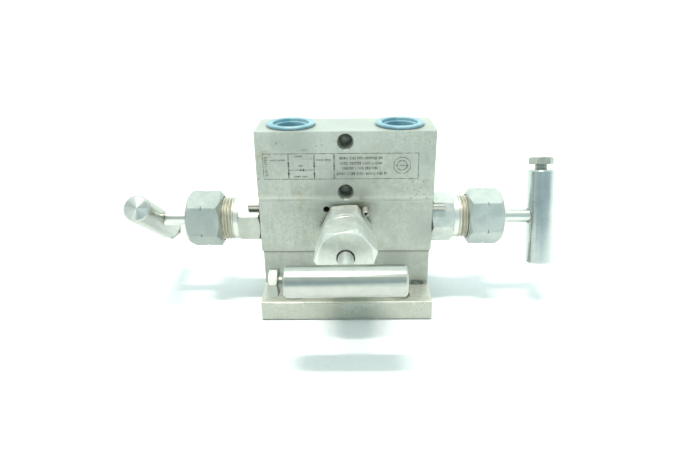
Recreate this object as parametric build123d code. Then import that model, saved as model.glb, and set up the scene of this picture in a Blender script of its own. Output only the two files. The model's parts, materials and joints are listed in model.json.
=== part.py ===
from build123d import *
from math import cos, radians, sin, sqrt, tan
import os

# Three-valve manifold for a differential-pressure transmitter, in millimetres.
# One block carries two pipe ports on top, a bolting flange underneath and three needle valves:
# an isolation valve on each end (along X) and an equalising valve on the front (along -Y).
# Frame: +X to the right, +Y to the back, +Z up; the origin is the centre of the flange's underside.

# ---- the block ------------------------------------------------------------------------------
BLOCK_WIDTH = 87.3          # 3 7/16 in bar
BLOCK_DEPTH = 28.6          # 1 1/8 in bar
BLOCK_TOP = 95.25           # 3 3/4 in over the flange's underside
LIP_Z = 32.8                # underside of the valve section, above the milled waist
WAIST_DEPTH = 17.4
FLANGE_DEPTH = 57.8
FLANGE_THICKNESS = 10.55
LABEL_FACE_Z = 60.0         # above this height the front is faced back a little for the marking
LABEL_FACE_CUT = 0.25
LABEL_FACE_RUN = 1.3        # height of the slope that leads up to the faced part
WAIST_TOP_FILLET = 1.6
WAIST_FOOT_FILLET = 1.0
EDGE_BREAK = 0.5
FLANGE_EDGE_BREAK = 0.8

# ---- interfaces -----------------------------------------------------------------------------
PORT_SPACING = 54.0         # 2 1/8 in between process lines, top and bottom
PORT_RADIUS = 9.9           # pitch radius of 1/2-14 NPT, held straight
PORT_DEPTH = 21.0
PORT_MOUTH_RADIUS = 10.4    # the wider first turns of the taper, which a plug closes for shipping
PORT_MOUTH_DEPTH = 9.0
PORT_MOUTH_CHAMFER = 0.4
FLANGE_BOLT_Y = 41.3        # 1 5/8 in between the bolts of one port
FLANGE_BOLT_RADIUS = 6.0    # clearance for 7/16 in bolts
BRACKET_HOLE_Z = (64.7, 90.1)
BRACKET_HOLE_RADIUS = 3.5   # pitch radius of 5/16-18 UNC
BRACKET_HOLE_DEPTH = 9.5
BRACKET_MOUTH_RADIUS = 3.97  # the first turns are cleared to the thread's full diameter
BRACKET_MOUTH_DEPTH = 1.4
INSTRUMENT_PORT_RADIUS = 4.75
INSTRUMENT_PORT_DEPTH = 8.0
SEAL_OUTER, SEAL_INNER, SEAL_DEPTH = 12.3, 9.3, 1.9

# ---- valve, measured along its own axis outwards from its datum plane --------------------------
VALVE_Z = 46.8
SIDE_VALVE_Y = -2.2         # the end valves stand a little forward of the block's middle
SIDE_SEAT = 0.75            # how much deeper the end valves' bonnets sit than the front one
BONNET_BORE_RADIUS = 9.55   # 3/4-16 thread in the block
BONNET_BORE_END = -14.2
GASKET_SEAT_RADIUS = 7.6
GASKET_SEAT_END = -17.4
CHAMBER_RADIUS = 4.95
SEAT_PLANE = -22.4
ORIFICE_RADIUS = 2.4
HEX_FLATS = 22.2            # 7/8 in hexagon bar
HEX_START, HEX_END = 0.8, 12.4
BONNET_THREAD_RADIUS = 11.1  # 7/8-16 thread for the packing nut
BONNET_THREAD_PITCH = 25.4 / 16
BONNET_THREAD_DEPTH = 0.95
BONNET_THREAD_START = 15.6
BONNET_END = 33.0
PACKING_FLOOR = 24.0
PACKING_RADIUS = 6.75
NUT_FLATS = 25.4            # 1 in hexagon bar
NUT_START, NUT_END = 20.2, 38.0
NUT_WALL = 34.4             # inside face of the nut's end wall
NUT_HOLE_RADIUS = 4.1
NUT_NOTCH = 29.6            # turned V that marks the six corners
STEM_RADIUS = 3.6
STEM_THREAD_RADIUS = 4.8    # 3/8-24 operating thread
STEM_PITCH = 25.4 / 24
STEM_TURNS = 4.25           # from shut to fully open
STEM_SHOULDER = 12.0
BACKSEAT = STEM_SHOULDER + STEM_TURNS * STEM_PITCH + 0.1
BALL_RADIUS = 3.175
HANDLE_U = 58.7
HANDLE_RADIUS = 6.7         # 17/32 in bar, cut to 2 in or a little less
HANDLE_HOLE_END = 62.1
BOLT_RADIUS = 3.15          # 1/4-20 bolt, about 1 in long
BOLT_PITCH = 25.4 / 20
BOLT_HEAD_FLATS = 11.1      # 7/16 in hexagon
BOLT_HEAD_HEIGHT = 3.7
PIN_RADIUS = 1.58           # 1/8 in slotted spring pin
PIN_HOLE_RADIUS = 1.6
PIN_DEPTH, PIN_PROUD = 8.0, 7.0
RUNNING = 0.05              # radial clearance of a running fit

# ---- port plug ------------------------------------------------------------------------------
PLUG_RIM_RADIUS = 12.1
PLUG_RIM_THICKNESS = 1.4
PLUG_BARREL_RADIUS = 10.2
PLUG_MOUTH_RADIUS = 8.9
PLUG_LEDGE_DEPTH = 1.5
PLUG_CUP_RADIUS = 7.2
PLUG_DEPTH = 8.5

OUT = "parts"

# Each valve: where its axis meets its datum plane, how far that plane is inside the block's face,
# its outward and local x directions, the hexagon and handle angles about its axis (degrees from
# local x, with local y up), how far its handle bar reaches from the stem on the bolt's side and on
# the other, the gap left under the bolt's head, how far its packing nut is backed off, and where its
# lock pin stands.
VALVES = {
    "left_isolation": dict(
        datum=(SIDE_SEAT - BLOCK_WIDTH / 2, SIDE_VALVE_Y, VALVE_Z - 0.4), sunk=SIDE_SEAT,
        out=(-1, 0, 0), across=(0, -1, 0), bonnet=53.7, nut=12.4, backed_off=0.9,
        bolt=213.7, head=52.0, bar=(24.0, 25.2), gap=2.4, pin=(8.5, 9.75)),
    "right_isolation": dict(
        datum=(BLOCK_WIDTH / 2 - SIDE_SEAT, SIDE_VALVE_Y, VALVE_Z), sunk=SIDE_SEAT,
        out=(1, 0, 0), across=(0, 1, 0), bonnet=35.2, nut=43.0, backed_off=-0.6,
        bolt=72.6, head=26.0, bar=(23.9, 25.0), gap=2.8, pin=(-9.85, 9.1)),
    "equalising": dict(
        datum=(0, -BLOCK_DEPTH / 2, VALVE_Z + 0.4), sunk=0.0,
        out=(0, -1, 0), across=(1, 0, 0), bonnet=33.5, nut=38.7, backed_off=0.0,
        bolt=180.5, head=47.0, bar=(25.4, 25.4), gap=2.1, pin=(9.75, 8.5)),
}


def turned(points):
    """A solid of revolution about Z from (radius, height) points."""
    return revolve(Plane.XZ * make_face(Polyline(*points, close=True)), Axis.Z)


def rod(radius, low, high):
    """A cylinder about Z between two heights."""
    return Pos(0, 0, (low + high) / 2) * Cylinder(radius, high - low)


def drilling(start, end, radius):
    """A straight drilled passage between two points."""
    a, b = Vector(*start), Vector(*end)
    return Plane(origin=a, z_dir=b - a) * rod(radius, 0, (b - a).length)


def hexagon(flats, low, high, turn, face_low, face_high, slope_low=30, slope_high=30):
    """A hexagon bar with its corners turned off at both ends; turn is a flat's direction."""
    corner = flats / sqrt(3)
    prism = Pos(0, 0, low) * extrude(RegularPolygon(corner, 6, rotation=turn + 30), high - low)
    cut_low = (corner - face_low) * tan(radians(slope_low))
    cut_high = (corner - face_high) * tan(radians(slope_high))
    turned_bar = turned([(0, low), (face_low, low), (corner, low + cut_low),
                         (corner, high - cut_high), (face_high, high), (0, high)])
    return prism & turned_bar


def thread_profile(radius, depth, pitch, low, high):
    """Points of a grooved outline between two heights: one V per pitch, with flat crests."""
    points = []
    turns = int((high - low) / pitch)
    for i in range(turns):
        z = low + i * pitch
        points += [(radius, z), (radius - depth, z + 0.42 * pitch),
                   (radius - depth, z + 0.52 * pitch), (radius, z + 0.94 * pitch)]
    return points


# ---- the block ------------------------------------------------------------------------------
def block_outline():
    """The block's end view, in Y and Z, with the waist's cutter radii."""
    flange, waist, front = FLANGE_DEPTH / 2, WAIST_DEPTH / 2, BLOCK_DEPTH / 2
    sketch = Polyline((-flange, 0), (flange, 0), (flange, FLANGE_THICKNESS),
                      (waist, FLANGE_THICKNESS), (waist, LIP_Z), (front, LIP_Z),
                      (front, BLOCK_TOP), (-front, BLOCK_TOP), (-front, LIP_Z), (-waist, LIP_Z),
                      (-waist, FLANGE_THICKNESS), (-flange, FLANGE_THICKNESS), close=True)
    face = make_face(sketch)
    foot = [v for v in face.vertices()
            if abs(abs(v.X) - waist) < 0.01 and abs(v.Y - FLANGE_THICKNESS) < 0.01]
    face = fillet(foot, WAIST_FOOT_FILLET)
    top = [v for v in face.vertices()
           if abs(abs(v.X) - waist) < 0.01 and abs(v.Y - LIP_Z) < 0.01]
    return fillet(top, WAIST_TOP_FILLET)


def blank_block():
    """The outline run the block's whole width, with its long and end edges broken."""
    plane = Plane(origin=(-BLOCK_WIDTH / 2, 0, 0), x_dir=(0, 1, 0), z_dir=(1, 0, 0))
    blank = extrude(plane * block_outline(), BLOCK_WIDTH)
    half = FLANGE_DEPTH / 2
    front = BLOCK_DEPTH / 2

    def long_edge(edge):
        c = edge.center()
        at_flange = abs(abs(c.Y) - half) < 0.01
        at_top = abs(c.Z - BLOCK_TOP) < 0.01 and abs(abs(c.Y) - front) < 0.3
        at_lip = abs(c.Z - LIP_Z) < 0.01 and abs(abs(c.Y) - front) < 0.01
        return abs(c.X) < 0.01 and (at_flange or at_top or at_lip)

    edges = [e for e in blank.edges() if long_edge(e)]
    upper = [e for e in edges if e.center().Z > LIP_Z - 1]
    flange = [e for e in edges if e.center().Z < LIP_Z - 1]
    blank = chamfer(upper, EDGE_BREAK)
    blank = chamfer(flange, FLANGE_EDGE_BREAK)
    side = EDGE_BREAK * sqrt(2)
    for depth, low, high in ((FLANGE_DEPTH, -1, FLANGE_THICKNESS + 0.2),
                             (BLOCK_DEPTH, LIP_Z - 0.2, BLOCK_TOP + 1)):
        for x in (-BLOCK_WIDTH / 2, BLOCK_WIDTH / 2):
            for y in (-depth / 2, depth / 2):
                corner = Rot(0, 0, 45) * Box(side, side, high - low)
                blank -= Pos(x, y, (low + high) / 2) * corner
    faced = LABEL_FACE_Z + LABEL_FACE_RUN
    marking = Polyline((0, LABEL_FACE_Z), (LABEL_FACE_CUT, faced), (LABEL_FACE_CUT, BLOCK_TOP + 1),
                       (-1, BLOCK_TOP + 1), (-1, LABEL_FACE_Z), close=True)
    plane = Plane(origin=(-BLOCK_WIDTH / 2 - 1, -front, 0), x_dir=(0, 1, 0), z_dir=(1, 0, 0))
    return blank - extrude(plane * make_face(marking), BLOCK_WIDTH + 2)


def valve_plane(valve):
    """The plane whose Z runs outwards along a valve."""
    return Plane(origin=valve["datum"], x_dir=valve["across"], z_dir=valve["out"])


def valve_cavity(valve):
    """Everything the block loses to one valve: thread, gasket seat, chamber and pin holes."""
    face = valve["sunk"]
    mouth = BONNET_BORE_RADIUS + 0.7
    cavity = turned([(0, face + 1), (mouth, face + 1), (mouth, face),
                     (BONNET_BORE_RADIUS, face - 0.7), (BONNET_BORE_RADIUS, BONNET_BORE_END),
                     (GASKET_SEAT_RADIUS, BONNET_BORE_END), (GASKET_SEAT_RADIUS, GASKET_SEAT_END),
                     (CHAMBER_RADIUS, GASKET_SEAT_END), (CHAMBER_RADIUS, SEAT_PLANE + 1.6),
                     (ORIFICE_RADIUS, SEAT_PLANE), (ORIFICE_RADIUS, SEAT_PLANE - 3.6),
                     (0, SEAT_PLANE - 3.6)])
    x, y = valve["pin"]
    for side in (x, -x):
        cavity += Pos(side, y, 0) * rod(PIN_HOLE_RADIUS, -PIN_DEPTH, face + 1)
    return valve_plane(valve) * cavity


def port_cavity(x):
    """A pipe port with its mouth chamfer and drilled point."""
    floor = BLOCK_TOP - PORT_DEPTH
    step = BLOCK_TOP - PORT_MOUTH_DEPTH
    mouth = PORT_MOUTH_RADIUS + PORT_MOUTH_CHAMFER
    return Pos(x, 0, 0) * turned([
        (0, floor - 2.0), (2.0, floor - 2.0), (PORT_RADIUS, floor), (PORT_RADIUS, step),
        (PORT_MOUTH_RADIUS, step), (PORT_MOUTH_RADIUS, BLOCK_TOP - PORT_MOUTH_CHAMFER),
        (mouth, BLOCK_TOP), (mouth, BLOCK_TOP + 1), (0, BLOCK_TOP + 1)])


def bracket_cavity(z):
    """A blind bracket hole in the front face."""
    face = LABEL_FACE_CUT - BLOCK_DEPTH / 2
    bore, mouth, edge = BRACKET_HOLE_RADIUS, BRACKET_MOUTH_RADIUS, 0.12
    step = BRACKET_MOUTH_DEPTH + mouth - bore
    hole = turned([
        (0, -BRACKET_HOLE_DEPTH - 1.6), (bore, -BRACKET_HOLE_DEPTH), (bore, -step),
        (mouth, -BRACKET_MOUTH_DEPTH), (mouth, -edge), (mouth + edge, 0), (mouth + edge, 1), (0, 1)])
    return Plane(origin=(0, face, z), x_dir=(1, 0, 0), z_dir=(0, -1, 0)) * hole


def instrument_cavity(x):
    """The flange-side port, its counterbore and the groove for its seal ring."""
    groove = rod(SEAL_OUTER, -1, SEAL_DEPTH) - rod(SEAL_INNER, -1, SEAL_DEPTH)
    return Pos(x, 0, 0) * (rod(INSTRUMENT_PORT_RADIUS, -1, INSTRUMENT_PORT_DEPTH) + groove)


def passages():
    """The drilled flow passages that join ports, chambers and seats."""
    half = PORT_SPACING / 2
    datum_x = BLOCK_WIDTH / 2 - SIDE_SEAT
    chamber_x = datum_x + (GASKET_SEAT_END + SEAT_PLANE) / 2
    inner_x = datum_x + SEAT_PLANE - 4.6
    chamber_y = (GASKET_SEAT_END + SEAT_PLANE) / -2 - BLOCK_DEPTH / 2
    orifice_y = 2.2 - SEAT_PLANE - BLOCK_DEPTH / 2
    found = []
    for name, side, cross_y in (("left_isolation", -1, chamber_y),
                                ("right_isolation", 1, orifice_y)):
        valve_z = VALVES[name]["datum"][2]
        chamber = (side * chamber_x, SIDE_VALVE_Y, valve_z + 2)
        seat = (side * inner_x, SIDE_VALVE_Y, valve_z)
        corner = (side * inner_x, cross_y, VALVE_Z)
        found.append(drilling((side * half, 0, BLOCK_TOP - PORT_DEPTH), chamber, 2.0))
        found.append(drilling((side * half, 0, INSTRUMENT_PORT_DEPTH - 1), seat, 2.4))
        found.append(drilling(seat, corner, 1.6))
        found.append(drilling(corner, (side, cross_y, VALVE_Z), 1.6))
    return found


def manifold_body():
    body = blank_block()
    half = PORT_SPACING / 2
    for x in (-half, half):
        body -= port_cavity(x)
        body -= instrument_cavity(x)
        for y in (-FLANGE_BOLT_Y / 2, FLANGE_BOLT_Y / 2):
            body -= Pos(x, y, 0) * turned([
                (0, -1), (FLANGE_BOLT_RADIUS, -1), (FLANGE_BOLT_RADIUS, FLANGE_THICKNESS + 1),
                (0, FLANGE_THICKNESS + 1)])
    for z in BRACKET_HOLE_Z:
        body -= bracket_cavity(z)
    for valve in VALVES.values():
        body -= valve_cavity(valve)
    for passage in passages():
        body -= passage
    return body


# ---- the valve's pieces, each about Z with Z outwards from the datum plane ---------------------
def bonnet(valve):
    corner = HEX_FLATS / sqrt(3)
    screwed = BONNET_BORE_RADIUS - RUNNING
    neck = BONNET_BORE_RADIUS - 1
    collar = BONNET_THREAD_RADIUS - 0.15
    thread = thread_profile(BONNET_THREAD_RADIUS, BONNET_THREAD_DEPTH, BONNET_THREAD_PITCH,
                            BONNET_THREAD_START, BONNET_END - 0.8)
    outside = turned([(0, GASKET_SEAT_END + 1), (GASKET_SEAT_RADIUS - 0.2, GASKET_SEAT_END + 1),
                      (GASKET_SEAT_RADIUS - 0.2, BONNET_BORE_END + 0.6),
                      (screwed, BONNET_BORE_END + 1.6), (screwed, -1.6), (neck, -0.8),
                      (neck, HEX_END - 1), (collar, HEX_END - 1), (collar, BONNET_THREAD_START - 0.3)]
                     + thread + [(BONNET_THREAD_RADIUS - 0.8, BONNET_END), (0, BONNET_END)])
    hexes = hexagon(HEX_FLATS, HEX_START, HEX_END, valve["bonnet"], corner - 1.9, corner - 2.1)
    thread_bore = STEM_THREAD_RADIUS + RUNNING
    stem_bore = STEM_RADIUS + 2 * RUNNING
    end = BONNET_END + 0.01
    bore = turned([(0, GASKET_SEAT_END), (thread_bore, GASKET_SEAT_END), (thread_bore, BACKSEAT),
                   (stem_bore, BACKSEAT + 1.2), (stem_bore, PACKING_FLOOR),
                   (PACKING_RADIUS, PACKING_FLOOR), (PACKING_RADIUS, end - 0.6),
                   (PACKING_RADIUS + 0.6, end), (0, end)])
    return outside + hexes - bore


def bonnet_gasket(valve):
    low = GASKET_SEAT_END
    ring = rod(GASKET_SEAT_RADIUS - 0.1, low, low + 0.98)
    return ring - rod(CHAMBER_RADIUS + 0.1, low - 1, low + 2)


def packing(valve):
    rings = []
    thickness, gap, bevel = 1.75, 0.05, 0.3
    inner, outer = STEM_RADIUS + RUNNING, PACKING_RADIUS - RUNNING
    for i in range(3):
        low = PACKING_FLOOR + gap + i * (thickness + gap)
        high = low + thickness
        rings.append(turned([(inner, low + bevel), (inner + bevel, low), (outer, low),
                             (outer, high - bevel), (outer - bevel, high), (inner, high)]))
    return Compound(children=rings)


def gland(valve):
    low = PACKING_FLOOR + 5.6
    high = NUT_WALL + valve["backed_off"] - 0.05
    inner, outer = STEM_RADIUS + 0.25, PACKING_RADIUS - 0.1
    return turned([(inner, low), (outer, low), (outer, high - 0.4), (outer - 0.4, high),
                   (inner, high)])


def packing_nut(valve):
    """The nut, shifted outwards by however much it is backed off."""
    bore = BONNET_THREAD_RADIUS + 0.1
    chamfered = NUT_HOLE_RADIUS + 0.15
    shape = hexagon(NUT_FLATS, NUT_START, NUT_END, valve["nut"], bore + 0.6,
                    NUT_FLATS / 2 - 0.35, 33, 42)
    inside = turned([(0, NUT_START - 1), (bore + 0.3, NUT_START - 1), (bore + 0.3, NUT_START),
                     (bore, NUT_START + 0.4), (bore, NUT_WALL), (NUT_HOLE_RADIUS, NUT_WALL),
                     (NUT_HOLE_RADIUS, NUT_END - 0.15), (chamfered, NUT_END),
                     (chamfered, NUT_END + 1), (0, NUT_END + 1)])
    corner = NUT_FLATS / sqrt(3)
    notch = turned([(corner - 0.9, NUT_NOTCH), (corner + 0.5, NUT_NOTCH - 0.8),
                    (corner + 0.5, NUT_NOTCH + 0.8)])
    return Pos(0, 0, valve["backed_off"]) * (shape - inside - notch)


def ball_centre():
    """Height of the ball's centre when it rests on the seat's edge."""
    return SEAT_PLANE + sqrt(BALL_RADIUS ** 2 - ORIFICE_RADIUS ** 2) + 0.35


def stem_ball(valve):
    return Pos(0, 0, ball_centre()) * Sphere(BALL_RADIUS)


def stem(valve):
    nose = ball_centre() - 0.75
    socket, undercut = 4.2, 3.4
    end = HANDLE_HOLE_END - 0.1
    shape = turned([(0, nose), (socket - 0.3, nose), (socket, nose + 0.5), (socket, nose + 3.4),
                    (undercut, nose + 3.8), (undercut, nose + 5.2), (STEM_THREAD_RADIUS, nose + 6.2),
                    (STEM_THREAD_RADIUS, STEM_SHOULDER), (STEM_RADIUS, STEM_SHOULDER + 1.2),
                    (STEM_RADIUS, end - 0.5), (STEM_RADIUS - 0.4, end), (0, end)])
    return shape - Pos(0, 0, ball_centre()) * Sphere(BALL_RADIUS + 0.08)


def along_handle(valve, shape):
    """Places a shape drawn along Z so that it lies on the handle's axis, +Z towards the bolt."""
    a = radians(valve["bolt"])
    return Plane(origin=(0, 0, HANDLE_U), x_dir=(0, 0, 1), z_dir=(cos(a), sin(a), 0)) * shape


def handle_bar(valve):
    near, far = valve["bar"]
    edge = 0.9
    bar = turned([(0, -far), (HANDLE_RADIUS - edge, -far), (HANDLE_RADIUS, edge - far),
                  (HANDLE_RADIUS, near - edge), (HANDLE_RADIUS - edge, near), (0, near)])
    hole = BOLT_RADIUS + RUNNING
    bar -= turned([(0, 0), (hole, 0), (hole, near - 0.4), (hole + 0.4, near),
                   (hole + 0.4, near + 1), (0, near + 1)])
    stem_hole = rod(STEM_RADIUS + RUNNING, HANDLE_U - HANDLE_RADIUS - 1, HANDLE_HOLE_END)
    return along_handle(valve, bar) - stem_hole


def handle_bolt(valve):
    tip, end = STEM_RADIUS + 0.1, valve["bar"][0]
    seat = end + valve["gap"]
    neck = BOLT_RADIUS - 0.08
    thread = thread_profile(BOLT_RADIUS, 0.6, BOLT_PITCH, tip + 1, end - 1.5)
    shank = turned([(0, tip), (BOLT_RADIUS - 0.7, tip)] + thread
                   + [(neck, end - 1), (neck, seat + 1), (0, seat + 1)])
    corner = BOLT_HEAD_FLATS / sqrt(3)
    head = hexagon(BOLT_HEAD_FLATS, seat, seat + BOLT_HEAD_HEIGHT, valve["head"], corner - 0.5,
                   BOLT_HEAD_FLATS / 2 - 0.3)
    return along_handle(valve, shank + head)


def lock_pin(valve):
    x, y = valve["pin"]
    low, end, bore = 0.05 - PIN_DEPTH, PIN_PROUD, 0.8
    pin = turned([(bore, low), (PIN_RADIUS - 0.3, low), (PIN_RADIUS, low + 0.6),
                  (PIN_RADIUS, end - 0.6), (PIN_RADIUS - 0.3, end), (bore, end)])
    slot = Pos(PIN_RADIUS, 0, 0) * Box(2 * PIN_RADIUS, 0.5, 40)
    return Pos(x, y, 0) * (Rot(0, 0, 90 if x < 0 else 30) * (pin - slot))


# ---- pieces on the block ----------------------------------------------------------------------
def port_plug(x):
    top = BLOCK_TOP + PLUG_RIM_THICKNESS
    rest = BLOCK_TOP + 0.02
    tip = BLOCK_TOP - PLUG_DEPTH
    ledge = top - PLUG_LEDGE_DEPTH
    floor = tip + 1.1
    shape = turned([
        (0, tip), (PLUG_BARREL_RADIUS - 1.2, tip), (PLUG_BARREL_RADIUS - 0.5, tip + 0.8),
        (PLUG_BARREL_RADIUS, BLOCK_TOP - 1.2), (PLUG_BARREL_RADIUS, rest),
        (PLUG_RIM_RADIUS - 0.25, rest), (PLUG_RIM_RADIUS, rest + 0.3),
        (PLUG_RIM_RADIUS, top - 0.35), (PLUG_RIM_RADIUS - 0.35, top),
        (PLUG_MOUTH_RADIUS + 0.3, top), (PLUG_MOUTH_RADIUS, top - 0.3),
        (PLUG_MOUTH_RADIUS - 0.15, ledge), (PLUG_CUP_RADIUS, ledge),
        (PLUG_CUP_RADIUS - 0.4, floor), (0, floor)])
    return Pos(x, 0, 0) * shape


def flange_seal(x):
    low, high = 0.05, SEAL_DEPTH - 0.02
    return Pos(x, 0, 0) * (rod(SEAL_OUTER - 0.1, low, high) - rod(SEAL_INNER + 0.1, -1, 3))


def save(shape, name):
    export_step(shape, os.path.join(OUT, name + ".step"))


def main():
    os.makedirs(OUT, exist_ok=True)
    save(manifold_body(), "manifold_body")
    half = PORT_SPACING / 2
    for side, x in (("left", -half), ("right", half)):
        save(port_plug(x), f"{side}_port_plug")
        save(flange_seal(x), f"{side}_flange_seal")
    pieces = {
        "bonnet": bonnet, "bonnet_gasket": bonnet_gasket, "packing_rings": packing,
        "packing_gland": gland, "packing_nut": packing_nut, "lock_pin": lock_pin,
        "stem": stem, "stem_ball": stem_ball, "handle_bar": handle_bar, "handle_bolt": handle_bolt,
    }
    for name, valve in VALVES.items():
        for piece, make in pieces.items():
            save(valve_plane(valve) * make(valve), f"{name}_{piece}")


main()
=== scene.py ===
import bmesh
import bpy
import json
import math
import random
from mathutils import Matrix, Vector


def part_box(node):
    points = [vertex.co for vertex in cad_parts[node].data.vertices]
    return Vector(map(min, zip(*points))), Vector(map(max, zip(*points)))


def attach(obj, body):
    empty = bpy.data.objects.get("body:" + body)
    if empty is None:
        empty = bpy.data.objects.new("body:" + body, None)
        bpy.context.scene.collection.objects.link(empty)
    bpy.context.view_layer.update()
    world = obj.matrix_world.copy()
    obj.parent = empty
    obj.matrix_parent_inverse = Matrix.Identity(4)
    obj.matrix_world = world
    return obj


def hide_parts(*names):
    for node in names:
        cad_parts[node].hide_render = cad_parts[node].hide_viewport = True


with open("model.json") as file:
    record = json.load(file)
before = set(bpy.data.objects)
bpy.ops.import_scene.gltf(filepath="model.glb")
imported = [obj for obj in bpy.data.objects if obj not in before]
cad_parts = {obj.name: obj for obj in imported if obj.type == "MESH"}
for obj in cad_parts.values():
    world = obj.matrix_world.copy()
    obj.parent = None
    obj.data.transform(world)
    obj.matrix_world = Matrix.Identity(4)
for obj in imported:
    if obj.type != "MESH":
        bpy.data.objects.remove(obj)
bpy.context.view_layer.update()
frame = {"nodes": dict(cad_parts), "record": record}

# Sizes and places below are in millimetres, in the frame that the CAD model has too: X to the
# right, Y to the back, Z up from the floor. Meshes are scaled to metres as they are made.
MM = 0.001
VALVES = ("left_isolation", "right_isolation", "equalising")

# ---- places taken from the frame ----------------------------------------------------------------
BLOCK_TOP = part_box("manifold_body")[1][2] / MM
plug_low, plug_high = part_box("right_port_plug")
PORT_X = (plug_low[0] + plug_high[0]) / 2 / MM
record = frame["record"]
joints = {joint["name"]: joint for joint in record["behaviour"]["joints"]}

# ---- sizes shared with the CAD model --------------------------------------------------------------
# Along each valve's own axis, outwards from its datum plane on the block:
HANDLE_U = 58.7
HEX_START, HEX_END = 0.8, 12.4
THREAD_START, THREAD_END = 15.6, 23.5
# Across it:
BONNET_HEX_FLATS = 22.2
BONNET_BORE = 8.55
BONNET_THREAD = dict(radius=11.1, depth=0.95, pitch=25.4 / 16)
# The block: planes of its front, heights, and threads with how far their ridges stand inward.
LABEL_FACE_Y = -14.05
WAIST_FACE_Y = -8.7
FLANGE_TOP = 10.55
LIP_Z = 32.8
LEDGE_Z = 61.4
BRACKET_HOLES = (64.7, 90.1)
BRACKET_THREAD = dict(radius=3.5, height=0.42, pitch=25.4 / 18)
PORT_THREAD = dict(radius=9.9, height=0.75, pitch=25.4 / 14)
# Directions about each valve's axis, in degrees from the valve's own X: of the handle's bolt, and
# of one flat of the bonnet's hexagon.
BOLT_ANGLE = {"left_isolation": 213.7, "right_isolation": 72.6, "equalising": 180.5}
BONNET_ANGLE = {"left_isolation": 53.7, "right_isolation": 35.2, "equalising": 33.5}

# ---- sizes of details that only the visual model has ----------------------------------------------
# The etched panel: its edges, the line that halves it, the diagram's lines, the device's centre.
LABEL_LEFT, LABEL_RIGHT, LABEL_LOW, LABEL_HIGH = -40.0, 35.4, 71.6, 84.4
LABEL_MIDDLE = -5.5
DIAGRAM_LINES = (-27.7, -15.2)
DIAGRAM_LINK_Z = 76.25
DEVICE_X, DEVICE_Z = 27.5, 78.3
CRUMB_COUNT = 26
EDGE_ANGLE = 24.0           # degrees; sharper edges are broken
EDGE_SEGMENTS = 2
CAD_WELD = 0.001            # points of a CAD mesh this close are one point
FLAT_ANGLE = 0.4            # degrees; faces that meet at less become one face
SKIN_WELD = 0.0005
SIDES = 192                 # points round a turned skin
# The bonnet's thread. Root and crest are shares of half a pitch, measured from the root; the
# groove starts and ends over a number of pitches.
THREAD_ROOT_TO, THREAD_CREST_FROM = 0.18, 0.92
THREAD_ROUNDING = 0.35
THREAD_RUN_IN, THREAD_RUN_OUT = 0.8, 0.3
# The ridges of inner threads: points per turn, tapered part of a turn, half widths in pitches at
# foot and crest, depth of the foot in the wall, and least height.
RIDGE_SIDES = 48
RIDGE_TAPER = 0.4
RIDGE_FOOT, RIDGE_CREST = 0.46, 0.07
RIDGE_SUNK, RIDGE_LEAST = 0.12, 0.02

# The valves take copies of the nut, bonnet hexagon and handle finishes: the front nut's lighter copy
# is painted light, the left valve's darker nut and hexagon are painted shade, and the right handle's
# bluer colour is a painted reflection tint.
NUT_FINISH = {"left_isolation": "shaded_nut", "right_isolation": "nut", "equalising": "lit_nut"}
BAR_FINISH = {"left_isolation": "handle", "right_isolation": "reflection_tinted_handle", "equalising": "handle"}
HEXAGON_FINISH = {"left_isolation": "shaded_bonnet_hex", "right_isolation": "bonnet_hex",
                  "equalising": "bonnet_hex"}

# Marks on the block, each as a centre and a reach. Brown stains:
STAINS = (((-12, -28, 12), 30), ((-40, -14, 84), 14), ((40, -4, 95), 18), ((-38, 2, 95), 12),
          ((-22, -14, 62), 14), ((14, -14, 59), 10), ((41, -14, 64), 9), ((-43, -10, 52), 14),
          ((30, -20, 11), 16), ((-30, -20, 11), 14), ((0, 14, 60), 26), ((42, 6, 30), 20))
# Groups of pits:
PITTED = (((33, -14, 66), 13), ((27, -14, 49), 10), ((36, -14, 56), 7), ((-22, -14, 52), 11),
          ((24, -14, 92), 8), ((40, -14, 91), 8), ((38, -20, 10), 9), ((-30, -14, 87), 8),
          ((20, 14, 60), 22))
# Grey smudges of handling:
SMUDGES = (((27, -9, 27), 13), ((-8, -14, 60), 16), ((0, -14, 76), 14), ((39, -14, 82), 12),
           ((-26, -14, 90), 18), ((-40, -9, 20), 12), ((40, -14, 46), 12))
# Areas where the finish has worn to a coarse grain:
WORN = (((-24, -14, 46), 26), ((30, -14, 90), 20))
# Single dings on the front: place across and up, and radius.
DINGS = ((33.0, 69.8, 0.9), (38.2, 70.1, 1.0), (40.0, 70.6, 0.7), (30.4, 66.6, 0.8),
         (33.9, 65.8, 0.9), (37.1, 66.7, 0.8), (36.2, 64.8, 0.6), (35.1, 63.3, 0.8),
         (32.6, 61.5, 1.0), (40.3, 61.2, 0.9), (13.6, 69.8, 0.8), (38.9, 63.4, 0.7),
         (-42.6, 72.0, 0.9), (-42.8, 74.6, 0.7), (-31.2, 66.4, 0.7), (-33.0, 89.6, 1.1),
         (-14.0, 88.3, 0.7), (-11.2, 88.6, 0.8), (15.2, 84.4, 1.1), (40.3, 89.8, 0.8))

# Colours of the block's steel and of what lies on it.
STEEL_DARK, STEEL_LIGHT = (0.375, 0.40, 0.35), (0.50, 0.53, 0.475)
STEEL_FLECK = (0.60, 0.625, 0.56)
STEEL_SWIRL = (0.37, 0.39, 0.34)
STEEL_LINE = (0.36, 0.385, 0.345)
STEEL_TAN = (0.49, 0.47, 0.36)
STEEL_GRAIN = (0.27, 0.285, 0.245)
STEEL_FLANGE = (0.545, 0.56, 0.49)
# A painted highlight for the flange's upper edge:
FLANGE_EDGE_HIGHLIGHT = (0.76, 0.755, 0.66)
# Painted light for the top face:
TOP_FACE_LIGHT = (0.66, 0.68, 0.61)
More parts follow.
